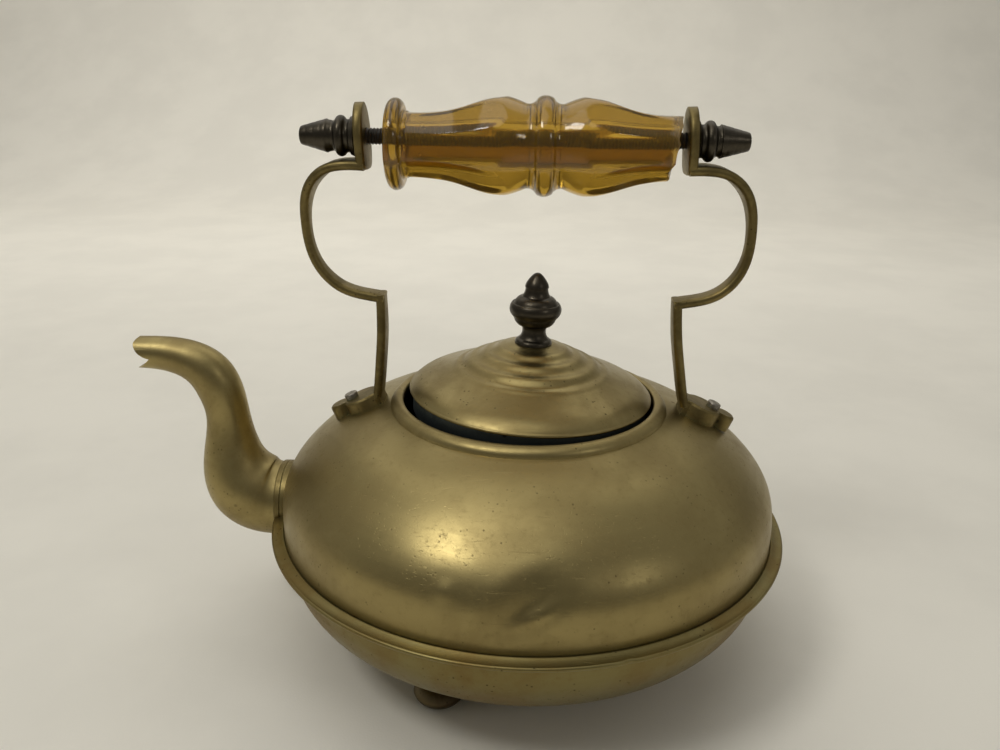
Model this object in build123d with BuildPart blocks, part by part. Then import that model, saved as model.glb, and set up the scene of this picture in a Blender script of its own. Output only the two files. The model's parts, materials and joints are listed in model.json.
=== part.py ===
"""Brass kettle with a glass grip: every separate piece is one solid, in millimetres, +Z up.

The kettle stands on Z = 0 and its spout points to -X. Heights named *_z are above that surface,
and heights named *_up are above the body seam.
"""
import os
from math import cos, radians, sin

from build123d import *

os.makedirs("parts", exist_ok=True)

# Overall sizes
rim_radius = 90.0       # seam flange, the widest ring of the body
spout_reach = 136.5     # body axis to the tip of the beak
seam_z = 47.5           # top face of the seam flange
sheet = 1.2             # spun brass sheet of the body and the lid
axis_x = (spout_reach - rim_radius) / 2     # body axis, so that the whole kettle is centred on X = 0

# Body
shell_radius = 85.6
pan_radius = 84.3
pan_base_radius = 39.0
pan_base_z = 2.0
flange_thickness = 1.7
mouth_radius = 43.1
collar_radius = 47.6
collar_up = 41.0
bead_up = 44.0
seat_up = 36.4
seat_radius = 39.0

# Spout
root_radius = 13.3
root_up = 0.5
spout_wall = 1.3
spout_collar_radius = 13.8
spout_collar_out = 89.1

# Handle
rod_up = 129.6
rod_radius = 2.65
eye_inner = 50.2        # half the space between the two eye plates
strap = 3.0
eye_half_height = 10.4
eye_half_width = 8.2
lean = 0.04             # how far the handle has settled towards the spout, per mm of height
lean_foot_up = 58.0
lug_root = {"left": 53.0, "right": 54.2}
lug_up = 44.4
lug_slope = 22.7
lug_thickness = 5.6
lug_bevel = 0.5
rivet_out = 10.8
rivet_radius = 1.5
rivet_head_radius = 2.15
rivet_head = 1.9
rivet_reach = -7.2      # end of the rivet's inner head, under the shell

nut_seat = {"left": 1.6, "right": 0.3}      # plain foot of each finial nut
nut_length = 16.7       # of the turned part beyond the foot
nut_grip = 9.0          # length of rod inside each finial nut

# Glass grip
glass_drop = 2.4        # the loose glass hangs on the rod by the top of its bore
glass_centre = 3.3
glass_bore = glass_drop + rod_radius + 0.1
glass_left = 49.5
disc_radius = 14.2
glass_end = 42.5
chip_radius = 11.0      # of the hollow that each chip leaves
chips = [(35, 1.1), (120, 2.0), (205, 1.5), (290, 2.3)]      # turn and depth of each chip

# Lid
lid_up = 45.3
lid_shift = 0.6
lid_tilt = 2.27
lid_radius = 41.6
lid_rim = 1.1
bezel_radius = 40.3
bezel_depth = 6.9
crown_up = 17.2
finial_height = 24.3
stud_radius = 1.5

# Feet
foot_circle = 54.0
foot_radius = 8.6
foot_angles = {"right": 0, "back": 120, "front": 240}

side = Plane(origin=(axis_x, 0, 0), x_dir=(1, 0, 0), z_dir=(0, -1, 0))
upright = Axis((axis_x, 0, 0), (0, 0, 1))
seam = Plane(origin=(axis_x, 0, seam_z), x_dir=(1, 0, 0), z_dir=(0, -1, 0))
tilt = radians(lid_tilt)
lid_origin = (axis_x + lid_shift, 0, seam_z + lid_up)
lid_side = Plane(origin=lid_origin, x_dir=(cos(tilt), 0, -sin(tilt)), z_dir=(0, -1, 0))
lid_axis = Axis(lid_origin, (sin(tilt), 0, cos(tilt)))
rod_axis = Axis((0, 0, seam_z + rod_up), (1, 0, 0))
glass_axis = Axis((0, 0, seam_z + rod_up - glass_drop), (1, 0, 0))

# Outer skins of the body in the seam plane: radius and height above the seam
dome_skin = [(shell_radius, 0), (84.3, 14.9), (76.2, 25.8), (62.6, 35.4), (mouth_radius + sheet, 42.1)]
dome_ends = [(0, 1), (-1, 0.33)]
pan_skin = [(pan_radius, 0), (84.5, -9.9), (81.0, -19.0), (71.9, -27.9), (58.9, -36.2), (46.5, -42.0)]
pan_ends = [(0, -1), (-1, -0.44)]
base_up = pan_base_z - seam_z


def save(piece, name):
    piece.part.label = name
    export_step(piece.part, f"parts/{name}.step")


def beside(curve, gap):
    """The line that runs beside a curve, a fixed gap to its right."""
    stops = [step / 8 for step in range(9)]
    points = [curve @ stop + Vector((curve % stop).Y, -(curve % stop).X) * gap for stop in stops]
    return Spline(points, tangents=[curve % 0, curve % 1])


# The closed outer form of the body, used only to seat the other pieces on it
with BuildPart() as body_form:
    with BuildSketch(seam):
        with BuildLine():
            Spline(dome_skin, tangents=dome_ends)
            Line(dome_skin[0], pan_skin[0])
            Spline(pan_skin, tangents=pan_ends)
            Spline(pan_skin[-1], (pan_base_radius, base_up), tangents=[(-1, -0.44), (-1, 0)])
            Polyline((pan_base_radius, base_up), (0, base_up), (0, dome_skin[-1][1]), dome_skin[-1])
        make_face()
    revolve(axis=upright)

# Spout stations: distance out from the body axis, height above the seam, radius, turn of the flow
rising_run = [
    (76.0, root_up, root_radius, 0),
    (90.0, root_up, root_radius, 0),
    (97.2, 2.3, 13.9, 24),
    (103.2, 7.4, 13.5, 52),
    (106.2, 17.0, 10.8, 80),
    (106.7, 33.0, 7.5, 90),
]
beak_run = [
    (106.7, 33.0, 7.5, 90),
    (108.0, 40.6, 7.6, 78),
    (111.6, 48.5, 7.6, 50),
    (118.9, 53.6, 6.7, 20),
    (128.0, 55.5, 5.9, 4),
    (141.0, 55.7, 5.5, 0),
]


def station_plane(out, up, turn):
    flow = (-cos(radians(turn)), 0, sin(radians(turn)))
    return Plane(origin=(axis_x - out, 0, seam_z + up), x_dir=(0, 1, 0), z_dir=flow)


with BuildPart() as spout_form:
    for run in (rising_run, beak_run):
        for out, up, radius, turn in run:
            with BuildSketch(station_plane(out, up, turn)):
                Circle(radius)
        loft()

with BuildPart() as spout_bore:
    for run in (rising_run, beak_run):
        for out, up, radius, turn in run:
            with BuildSketch(station_plane(out, up, turn)):
                Circle(radius - spout_wall)
        loft()

# Beak: a rounded upper lip, a notch in both cheeks and a pointed lower lip
with BuildPart() as spout:
    add(spout_form.part)
    add(spout_bore.part, mode=Mode.SUBTRACT)
    add(body_form.part, mode=Mode.SUBTRACT)
    with BuildSketch(seam):
        with BuildLine():
            Line((-131.6, 66.0), (-131.6, 61.6))
            ThreePointArc((-131.6, 61.6), (-134.6, 60.9), (-135.9, 59.2))
            ThreePointArc((-135.9, 59.2), (-134.8, 57.2), (-130.8, 53.8))
            Polyline((-130.8, 53.8), (-spout_reach, 50.3), (-spout_reach, 46.0), (-150, 46.0), (-150, 66.0),
                     (-131.6, 66.0))
        make_face()
    extrude(amount=20, both=True, mode=Mode.SUBTRACT)
save(spout, "spout")

with BuildPart() as collar_form:
    with BuildSketch(Plane(origin=(axis_x - spout_collar_out, 0, seam_z + root_up), z_dir=(1, 0, 0))):
        Circle(spout_collar_radius)
    extrude(amount=12)

with BuildPart() as spout_collar:
    add(collar_form.part)
    add(spout_form.part, mode=Mode.SUBTRACT)
    add(body_form.part, mode=Mode.SUBTRACT)
save(spout_collar, "spout_collar")

# Handle rivets first, because the lugs and the shell are drilled by their shanks
def settled(x, up):
    """Place across the handle, with the lean of the frame towards the spout."""
    return x - lean * (up - lean_foot_up)


def lug_plane(name, hand):
    slope = radians(lug_slope)
    x = axis_x + settled(hand * lug_root[name], lug_up)
    return Plane(
        origin=(x, 0, seam_z + lug_up),
        x_dir=(hand * cos(slope), 0, -sin(slope)),
        z_dir=(hand * sin(slope), 0, cos(slope)),
    )


hands = {"left": -1, "right": 1}
rivets = {}
for name, hand in hands.items():
    with BuildPart() as rivet:
        base = lug_plane(name, hand)
        with BuildSketch(Plane(origin=base.from_local_coords((rivet_out, 0, 0)), x_dir=base.x_dir,
                               z_dir=-base.y_dir)):
            with BuildLine():
                Polyline((0, rivet_head), (0, rivet_reach), (2.3, rivet_reach), (2.6, -5.6), (rivet_radius, -5.6),
                         (rivet_radius, 0), (rivet_head_radius, 0), (rivet_head_radius, rivet_head - 0.4),
                         (rivet_head_radius - 0.4, rivet_head), (0, rivet_head))
            make_face()
        revolve(axis=Axis(base.from_local_coords((rivet_out, 0, 0)), base.z_dir))
    rivets[name] = rivet.part
    save(rivet, f"handle_rivet_{name}")

# Body: a raised upper shell on the flange of a lower pan
with BuildPart() as upper_shell:
    with BuildSketch(seam):
        with BuildLine():
            skin = Spline(dome_skin, tangents=dome_ends)
            lining = beside(skin, -sheet)
            Line(skin @ 0, lining @ 0)
            Line(skin @ 1, lining @ 1)
        make_face()
    revolve(axis=upright)
    add(spout_bore.part, mode=Mode.SUBTRACT)
    for name, hand in hands.items():
        add(rivets[name], mode=Mode.SUBTRACT)
save(upper_shell, "upper_shell")

with BuildPart() as lower_pan:
    with BuildSketch(seam):
        with BuildLine():
            Polyline((pan_radius - sheet / 2, 0), (rim_radius - 0.85, 0))
            ThreePointArc((rim_radius - 0.85, 0), (rim_radius, -0.85), (rim_radius - 0.85, -flange_thickness))
            Polyline((rim_radius - 0.85, -flange_thickness), (pan_radius - sheet / 2, -flange_thickness),
                     (pan_radius - sheet / 2, 0))
        make_face()
    revolve(axis=upright)
    add(spout_form.part, mode=Mode.SUBTRACT)
    add(collar_form.part, mode=Mode.SUBTRACT)
    with BuildSketch(seam):
        with BuildLine():
            Spline(pan_skin, tangents=pan_ends)
            Spline(pan_skin[-1], (pan_base_radius, base_up), tangents=[(-1, -0.44), (-1, 0)])
            Polyline((pan_base_radius, base_up), (0, base_up), (0, base_up + sheet),
                     (pan_base_radius, base_up + sheet))
            Spline((pan_base_radius, base_up + sheet), (46.0, -40.9), tangents=[(1, 0), (1, 0.44)])
            Spline([(46.0, -40.9), (58.3, -35.1), (71.1, -27.0), (79.9, -18.4), (83.3, -9.7), (83.1, 0)],
                   tangents=[(1, 0.44), (0, 1)])
            Line((83.1, 0), pan_skin[0])
        make_face()
    revolve(axis=upright)
    add(spout_bore.part, mode=Mode.SUBTRACT)
save(lower_pan, "lower_pan")

# Rolled collar of the mouth, with the seat that the lid's bezel stands on
with BuildPart() as mouth_collar:
    with BuildSketch(seam):
        with BuildLine():
            ThreePointArc((collar_radius, collar_up - 0.4), (46.6, 43.2), (44.2, bead_up))
            ThreePointArc((44.2, bead_up), (43.4, 43.8), (mouth_radius, 43.2))
            Polyline((mouth_radius, 43.2), (mouth_radius, seat_up), (seat_radius, seat_up),
                     (seat_radius, seat_up - sheet), (mouth_radius + sheet, seat_up - sheet),
                     (mouth_radius + sheet, collar_up - 0.4), (collar_radius, collar_up - 0.4))
        make_face()
    revolve(axis=upright)
    add(body_form.part, mode=Mode.SUBTRACT)
save(mouth_collar, "mouth_collar")

# Bun feet, each cut to the curve of the pan above it
for name, angle in foot_angles.items():
    place = Plane(origin=(axis_x + foot_circle * cos(radians(angle)), foot_circle * sin(radians(angle)), 0),
                  x_dir=(1, 0, 0), z_dir=(0, -1, 0))
    with BuildPart() as foot:
        with BuildSketch(place):
            with BuildLine():
                Polyline((0, 18), (0, 0), (4.0, 0))
                ThreePointArc((4.0, 0), (7.2, 1.1), (foot_radius, 3.5))
                ThreePointArc((foot_radius, 3.5), (7.7, 5.5), (5.4, 6.9))
                Polyline((5.4, 6.9), (5.4, 18), (0, 18))
            make_face()
        revolve(axis=Axis(place.origin, (0, 0, 1)))
        add(body_form.part, mode=Mode.SUBTRACT)
    save(foot, f"foot_{name}")

# Brackets: a forged strap with an eye for the rod and a trefoil lug on the shoulder of the body
def across(hand, points):
    return [(settled(hand * x, up), up) for x, up in points]


strap_mid = eye_inner + strap / 2
knee_up = 120.0
elbow = (59.4, 80.8)
corner = (49.4, 77.4)
strap_runs = [
    ([(strap_mid, 145.0), (strap_mid, knee_up)], [(0, -1), (0, -1)]),
    ([(strap_mid, knee_up), (58.6, knee_up)], [(1, 0), (1, 0)]),
    ([(58.6, knee_up), (68.6, 114.2), (72.4, 102.0), (68.6, 87.5), elbow], [(1, 0), (-1, -0.45)]),
    ([elbow, corner], [(-1, -0.4), (-1, -0.3)]),
    ([corner, (49.8, 66.0), (51.2, 54.0), (53.0, 42.0)], [(0, -1), (0.2, -1)]),
]
lugs = {}
for name, hand in hands.items():
    with BuildPart() as lug:
        with BuildSketch(lug_plane(name, hand)):
            with Locations((6.6, 0)):
                Ellipse(6.8, 6.9)
            with Locations((15.2, 0)):
                Circle(3.4)
            with Locations((11.5, 0)):
                Rectangle(4.0, 4.4)
            with Locations((2.2, 0)):
                Rectangle(7.0, 9.6)
        extrude(amount=-lug_thickness)
        upward = Axis((axis_x, 0, seam_z), lug_plane(name, hand).z_dir)
        chamfer(lug.faces().sort_by(upward)[-1].edges(), length=lug_bevel)
    lugs[name] = lug.part

brackets = {}
for name, hand in hands.items():
    with BuildPart() as bracket:
        with BuildSketch(seam):
            for points, ends in strap_runs:
                with BuildLine():
                    middle = Spline(across(hand, points), tangents=[(hand * x, up) for x, up in ends],
                                    mode=Mode.PRIVATE)
                    edges = [beside(middle, gap) for gap in (strap / 2, -strap / 2)]
                    Line(edges[0] @ 0, edges[1] @ 0)
                    Line(edges[0] @ 1, edges[1] @ 1)
                make_face()
            with Locations(*across(hand, [points[0] for points, ends in strap_runs[1:]])):
                Circle(strap / 2)
        extrude(amount=12, both=True)
        with BuildSketch(Plane.YZ):
            with Locations((0, seam_z + rod_up)):
                Ellipse(eye_half_width, eye_half_height)
            with BuildLine():
                Spline((eye_half_width, seam_z + rod_up), (7.0, seam_z + 118.5), (3.1, seam_z + 104.0),
                       (2.9, seam_z + 90.0), tangents=[(0, -1), (0, -1)])
                Spline((2.9, seam_z + 90.0), (4.8, seam_z + 62.0), tangents=[(0, -1), (0, -1)])
                Polyline((4.8, seam_z + 62.0), (4.8, seam_z + 38.0), (0, seam_z + 38.0),
                         (0, seam_z + rod_up), (eye_half_width, seam_z + rod_up))
            half = make_face()
            mirror(half, about=Plane.YZ)
        extrude(amount=160, both=True, mode=Mode.INTERSECT)
        add(lugs[name])
        add(body_form.part, mode=Mode.SUBTRACT)
        add(rivets[name], mode=Mode.SUBTRACT)
        with BuildSketch(Plane.YZ):
            with Locations((0, seam_z + rod_up)):
                Circle(rod_radius)
        extrude(amount=160, both=True, mode=Mode.SUBTRACT)
    brackets[name] = bracket.part
    save(bracket, f"bracket_{name}")

# Threaded rod through both eyes, and a turned finial nut on each end
eye_outer = {name: settled(hand * (eye_inner + strap), rod_up) for name, hand in hands.items()}
with BuildPart() as grip_rod:
    with BuildSketch(Plane(origin=(axis_x + eye_outer["left"] - nut_grip, 0, seam_z + rod_up), z_dir=(1, 0, 0))):
        Circle(rod_radius)
    extrude(amount=eye_outer["right"] - eye_outer["left"] + 2 * nut_grip)
save(grip_rod, "grip_rod")

for name, hand in hands.items():
    foot = nut_seat[name]
    face = Plane(origin=(axis_x + eye_outer[name] + hand * foot, 0, seam_z + rod_up), x_dir=(hand, 0, 0),
                 z_dir=(0, -hand, 0))
    with BuildPart() as finial_nut:
        with BuildSketch(face):
            with BuildLine():
                Polyline((nut_grip - foot, 0), (nut_grip - foot, rod_radius), (-foot, rod_radius),
                         (-foot, 6.0), (0, 6.0))
                ThreePointArc((0, 6.0), (0.9, 6.5), (1.8, 5.9))
                ThreePointArc((1.8, 5.9), (2.6, 5.1), (3.6, 5.5))
                ThreePointArc((3.6, 5.5), (5.1, 6.4), (6.6, 5.5))
                ThreePointArc((6.6, 5.5), (7.5, 4.5), (8.6, 5.1))
                ThreePointArc((8.6, 5.1), (9.1, 5.2), (9.5, 4.9))
                Line((9.5, 4.9), (nut_length - 0.9, 2.8))
                Spline((nut_length - 0.9, 2.8), (nut_length, 0), tangents=[(1, -0.32), (0, -1)])
                Line((nut_length, 0), (nut_grip - foot, 0))
            make_face()
        revolve(axis=rod_axis)
        add(brackets[name], mode=Mode.SUBTRACT)
    save(finial_nut, f"finial_nut_{name}")

# Moulded glass grip: turned bulbs and ring, pressed into eight panels that end in arches
def glass_side(turn):
    across_dir = (0, -cos(radians(turn)), sin(radians(turn)))
    return Plane(origin=(axis_x + glass_centre, 0, glass_axis.position.Z), x_dir=(1, 0, 0), z_dir=across_dir)


panel_curve = [(35.0, 10.0), (29.0, 10.9), (23.0, 12.7), (17.0, 14.4), (11.0, 15.4), (7.5, 17.5)]
with BuildPart() as grip_glass:
    with BuildSketch(glass_side(0)):
        with BuildLine():
            Line((-glass_left, 0), (-glass_left, 12.2))
            ThreePointArc((-glass_left, 12.2), (-47.3, disc_radius), (-44.6, 11.0))
            Spline((-44.6, 11.0), (-42.6, 10.3), (-36.0, 10.8), (-29.0, 12.0), (-22.0, 14.0), (-13.5, 15.3),
                   (-5.8, 13.0), tangents=[(0.3, -1), (1, -0.4)])
            ThreePointArc((-5.8, 13.0), (-3.4, 13.6), (-2.6, 14.6))
            ThreePointArc((-2.6, 14.6), (0, 15.5), (2.6, 14.6))
            ThreePointArc((2.6, 14.6), (3.4, 13.6), (5.8, 13.0))
            Spline((5.8, 13.0), (13.5, 15.3), (22.0, 14.0), (29.0, 12.0), (36.0, 10.5), (glass_end, 10.0),
                   tangents=[(1, 0.4), (1, 0)])
            Polyline((glass_end, 10.0), (glass_end, 0), (-glass_left, 0))
        make_face()
    revolve(axis=glass_axis)
    for turn in (22.5, 67.5, 112.5, 157.5):
        with BuildSketch(glass_side(turn)):
            with BuildLine():
                Line((-60, 22), (-43.0, 22))
                Line((-43.0, 22), (-43.0, 10.2))
                Spline([(-43.0, 10.2)] + [(-d, r) for d, r in panel_curve])
                Line((-7.5, 17.5), (7.5, 17.5))
                Spline([(d, r) for d, r in panel_curve[::-1]] + [(50.0, 9.9)])
                Polyline((50.0, 9.9), (50.0, 0), (-60, 0), (-60, 22))
            half = make_face()
            mirror(half, about=Plane.XZ)
        extrude(amount=25, both=True, mode=Mode.INTERSECT)
    with BuildSketch(Plane(origin=(axis_x - 60, 0, glass_axis.position.Z), z_dir=(1, 0, 0))):
        Circle(glass_bore)
    extrude(amount=120, mode=Mode.SUBTRACT)
    wall_mid = (glass_bore + 10.0) / 2
    for turn, depth in chips:
        hollow = (axis_x + glass_centre + glass_end + chip_radius - depth, wall_mid * cos(radians(turn)),
                  glass_axis.position.Z + wall_mid * sin(radians(turn)))
        with Locations(hollow):
            Sphere(chip_radius, mode=Mode.SUBTRACT)
save(grip_glass, "grip_glass")

# Lid: a spun cover with three soft rings, its bezel, and a turned finial held by a nut inside
rings = [(26.3, 9.5), (20.0, 11.9), (13.5, 14.8)]
with BuildPart() as lid_cover:
    with BuildSketch(lid_side):
        with BuildLine():
            Polyline((stud_radius, crown_up - sheet), (stud_radius, crown_up), (6.6, crown_up))
            ThreePointArc((6.6, crown_up), (10.5, 16.5), rings[2])
            ThreePointArc(rings[2], (17.1, 13.95), rings[1])
            ThreePointArc(rings[1], (23.5, 11.4), rings[0])
            Spline(rings[0], (33.0, 6.2), (lid_radius - 0.5, lid_rim), tangents=[(1, -0.35), (0.75, -1)])
            ThreePointArc((lid_radius - 0.5, lid_rim), (lid_radius, lid_rim / 2), (lid_radius - 0.3, 0))
            Line((lid_radius - 0.3, 0), (38.6, 0))
            Spline((38.6, 0), (32.0, 5.2), (26.3, 8.1), (20.0, 10.7), (13.5, 13.5), (6.0, crown_up - sheet),
                   tangents=[(-0.75, 1), (-1, 0.05)])
            Line((6.0, crown_up - sheet), (stud_radius, crown_up - sheet))
        make_face()
    revolve(axis=lid_axis)
save(lid_cover, "lid_cover")

with BuildPart() as lid_bezel:
    with BuildSketch(lid_side):
        with BuildLine():
            Polyline((bezel_radius, 0), (bezel_radius, -bezel_depth), (bezel_radius - 1.0, -bezel_depth),
                     (bezel_radius - 1.0, 0), (bezel_radius, 0))
        make_face()
    revolve(axis=lid_axis)
save(lid_bezel, "lid_bezel")

with BuildPart() as lid_finial:
    with BuildSketch(Plane(origin=lid_origin, x_dir=lid_side.x_dir, z_dir=lid_side.z_dir)):
        with BuildLine():
            Polyline((0, crown_up - 5.2), (stud_radius, crown_up - 5.2), (stud_radius, crown_up), (6.3, crown_up))
            ThreePointArc((6.3, crown_up), (6.1, crown_up + 1.0), (5.2, crown_up + 1.7))
            ThreePointArc((5.2, crown_up + 1.7), (3.8, crown_up + 3.9), (4.0, crown_up + 6.0))
            ThreePointArc((4.0, crown_up + 6.0), (6.0, crown_up + 7.2), (7.1, crown_up + 9.3))
            ThreePointArc((7.1, crown_up + 9.3), (8.8, crown_up + 11.9), (8.0, crown_up + 13.7))
            Line((8.0, crown_up + 13.7), (7.3, crown_up + 13.7))
            ThreePointArc((7.3, crown_up + 13.7), (6.4, crown_up + 15.3), (4.6, crown_up + 16.2))
            ThreePointArc((4.6, crown_up + 16.2), (3.8, crown_up + 17.6), (3.6, crown_up + 19.2))
            Line((3.6, crown_up + 19.2), (3.9, crown_up + 19.5))
            Spline((3.9, crown_up + 19.5), (2.6, crown_up + 22.4), (0, crown_up + finial_height),
                   tangents=[(-0.15, 1), (-1, 0)])
            Line((0, crown_up + finial_height), (0, crown_up - 5.2))
        make_face()
    revolve(axis=lid_axis)
save(lid_finial, "lid_finial")

with BuildPart() as lid_nut:
    with BuildSketch(Plane(origin=lid_axis.position + lid_axis.direction * (crown_up - sheet),
                           x_dir=lid_side.x_dir, z_dir=lid_axis.direction)):
        RegularPolygon(3.8, 6)
        Circle(stud_radius, mode=Mode.SUBTRACT)
    extrude(amount=-3.0)
save(lid_nut, "lid_nut")
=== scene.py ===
"""Looks of a small brass tea kettle with a pressed-glass grip, laid out as an add-on.

Every piece is placed in the kettle's own frame: millimetres out from the body axis, +X away from
the spout, and millimetres up from the seam where the two spun halves meet.
"""
import json
import math

import bmesh
import bpy
import numpy as np
from bpy.props import FloatProperty, FloatVectorProperty, PointerProperty
from mathutils import Matrix, Vector

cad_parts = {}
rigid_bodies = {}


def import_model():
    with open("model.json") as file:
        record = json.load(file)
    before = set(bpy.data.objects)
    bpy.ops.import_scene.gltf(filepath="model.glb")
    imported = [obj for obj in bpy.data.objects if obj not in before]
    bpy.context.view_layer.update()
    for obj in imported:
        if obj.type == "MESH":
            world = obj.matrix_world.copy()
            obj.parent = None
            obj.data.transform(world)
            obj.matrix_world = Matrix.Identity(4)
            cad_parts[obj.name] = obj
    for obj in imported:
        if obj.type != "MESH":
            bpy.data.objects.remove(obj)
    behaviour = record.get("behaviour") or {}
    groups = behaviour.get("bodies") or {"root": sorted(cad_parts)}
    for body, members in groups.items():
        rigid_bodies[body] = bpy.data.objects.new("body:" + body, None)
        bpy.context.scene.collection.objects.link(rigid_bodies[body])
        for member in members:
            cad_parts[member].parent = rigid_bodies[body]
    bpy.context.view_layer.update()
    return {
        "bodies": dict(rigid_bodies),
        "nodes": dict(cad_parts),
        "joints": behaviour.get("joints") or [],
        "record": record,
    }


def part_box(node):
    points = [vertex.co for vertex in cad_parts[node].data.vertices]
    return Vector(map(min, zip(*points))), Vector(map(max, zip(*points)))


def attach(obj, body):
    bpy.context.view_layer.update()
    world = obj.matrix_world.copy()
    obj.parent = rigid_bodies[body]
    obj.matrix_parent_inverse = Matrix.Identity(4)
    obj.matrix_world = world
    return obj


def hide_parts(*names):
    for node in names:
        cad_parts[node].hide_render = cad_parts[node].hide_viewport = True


bl_info = {
    "name": "Brass Kettle",
    "version": (1, 0, 0),
    "blender": (4, 5, 0),
    "location": "View3D > Sidebar > Kettle",
    "description": "Builds the finished surfaces of a brass kettle with a glass grip around its solids",
    "category": "Add Mesh",
}

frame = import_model()

MM = 0.001
collar_low, collar_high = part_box("mouth_collar")
AXIS_X = (collar_low.x + collar_high.x) / 2 / MM
SEAM_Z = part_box("lower_pan")[1].z / MM
ROD_UP = sum(corner.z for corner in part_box("grip_rod")) / 2 / MM - SEAM_Z
GLASS_UP = sum(corner.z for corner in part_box("grip_glass")) / 2 / MM - SEAM_Z
SIDES = {"left": -1, "right": 1}


# ---- settings

def length(name, description, default):
    return FloatProperty(name=name, description=description, default=default, unit="LENGTH", precision=5)


def colour(name, description, default):
    return FloatVectorProperty(name=name, description=description, default=default, subtype="COLOR",
                               size=3, min=0, max=1)


class KettleSizes(bpy.types.PropertyGroup):
    """Sizes of the kettle that a user would change"""

    flange_radius: length("Flange Radius", "Radius of the rolled flange around the seam",
                          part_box("lower_pan")[1].y)
    sheet: length("Sheet", "Thickness of the spun brass sheet", 0.0012)
    mouth_radius: length("Mouth Radius", "Inner radius of the rolled bead of the mouth", 0.0431)
    lid_radius: length("Lid Radius", "Radius of the lid's rim", 0.0416)
    lid_tilt: FloatProperty(name="Lid Tilt", description="How far the lid sits out of level",
                            default=math.radians(2.27), subtype="ANGLE")
    strap: length("Strap", "Thickness of the handle's brass strap", 0.0030)
    rod_radius: length("Rod Radius", "Radius of the threaded rod through the grip",
                       (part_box("grip_rod")[1].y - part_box("grip_rod")[0].y) / 2)


class KettleFinish(bpy.types.PropertyGroup):
    """Colours of the kettle's finishes"""

    brass: colour("Brass", "Aged olive brass of the body", (0.36, 0.285, 0.120))
    tarnish: colour("Tarnish", "Browner brass where the surface has dulled", (0.255, 0.195, 0.080))
    bright: colour("Bright Brass", "Brass that handling keeps clean, along edges", (0.52, 0.42, 0.18))
    verdigris: colour("Verdigris", "Dull green crust in the joints", (0.20, 0.22, 0.12))
    bronze: colour("Bronze", "Dark bronzed finials", (0.075, 0.064, 0.047))
    steel: colour("Steel", "Blackened steel of the rod", (0.085, 0.080, 0.076))
    glass: colour("Amber Glass", "Tint of the pressed glass", (0.49, 0.295, 0.036))
    cloth: colour("Cloth", "Pale cloth that the kettle stands on", (0.85, 0.818, 0.728))


# ---- curves and outlines

TOUCHING = 1e-4  # points nearer than this many millimetres are one point


def unit(vector):
    vector = np.asarray(vector, float)
    return vector / np.linalg.norm(vector)


def run_of(line):
    """How far along a line each of its points lies."""
    return np.r_[0, np.cumsum(np.linalg.norm(np.diff(line, axis=0), axis=1))]


def curve_through(points, start, end, steps=10):
    """A smooth cubic through points, leaving and arriving along the given slopes per unit of run."""
    knots = np.asarray(points, float)
    run, count = run_of(knots), len(knots)
    system = np.zeros((count, count))
    wanted = np.zeros_like(knots)
    system[0, 0] = system[-1, -1] = 1
    wanted[0], wanted[-1] = start, end
    for i in range(1, count - 1):
        before, after = run[i] - run[i - 1], run[i + 1] - run[i]
        system[i, i - 1:i + 2] = after, 2 * (before + after), before
        wanted[i] = 3 * (after / before * (knots[i] - knots[i - 1])
                         + before / after * (knots[i + 1] - knots[i]))
    slopes = np.linalg.solve(system, wanted)
    t = np.linspace(0, 1, steps, endpoint=False)[:, None]
    spans = []
    for i in range(count - 1):
        gap = run[i + 1] - run[i]
        spans.append((2 * t**3 - 3 * t**2 + 1) * knots[i] + (t**3 - 2 * t**2 + t) * gap * slopes[i]
                     + (3 * t**2 - 2 * t**3) * knots[i + 1] + (t**3 - t**2) * gap * slopes[i + 1])
    return np.vstack(spans + [knots[-1:]])


def skin(points, start, end, steps=10):
    """curve_through for an outline, whose end slopes are plain directions."""
    return curve_through(points, unit(start), unit(end), steps)


def arc(first, middle, last, steps=8):
    """Points on the circle through three points, from the first to the last."""
    a, b, c = (complex(*point) for point in (first, middle, last))
    w = (c - a) / (b - a)
    centre = (b - a) * (w - abs(w) ** 2) / (w - w.conjugate()) + a
    spin = np.angle((c - centre) / (a - centre))
    passed = np.angle((b - centre) / (a - centre))
    if passed * spin < 0 or abs(passed) > abs(spin):
        spin -= math.copysign(2 * math.pi, spin)
    points = centre + (a - centre) * np.exp(1j * spin * np.linspace(0, 1, steps + 1))
    return np.column_stack([points.real, points.imag])


def beside(line, gap):
    """The line that runs a fixed gap to the right of another."""
    slope = np.gradient(line, axis=0)
    slope /= np.linalg.norm(slope, axis=1)[:, None]
    return line + np.column_stack([slope[:, 1], -slope[:, 0]]) * gap


def outline(*runs):
    """Runs of points joined into one, with repeated points left out."""
    points = np.vstack([np.atleast_2d(np.asarray(run, float)) for run in runs])
    keep = np.r_[True, np.linalg.norm(np.diff(points, axis=0), axis=1) > TOUCHING]
    return points[keep]


def circle(turns):
    """Angles evenly round a circle."""
    return np.linspace(0, 2 * math.pi, turns, endpoint=False)


# ---- meshes

ON_AXIS = 1e-6  # a smaller radius is a point of the axis


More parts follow.
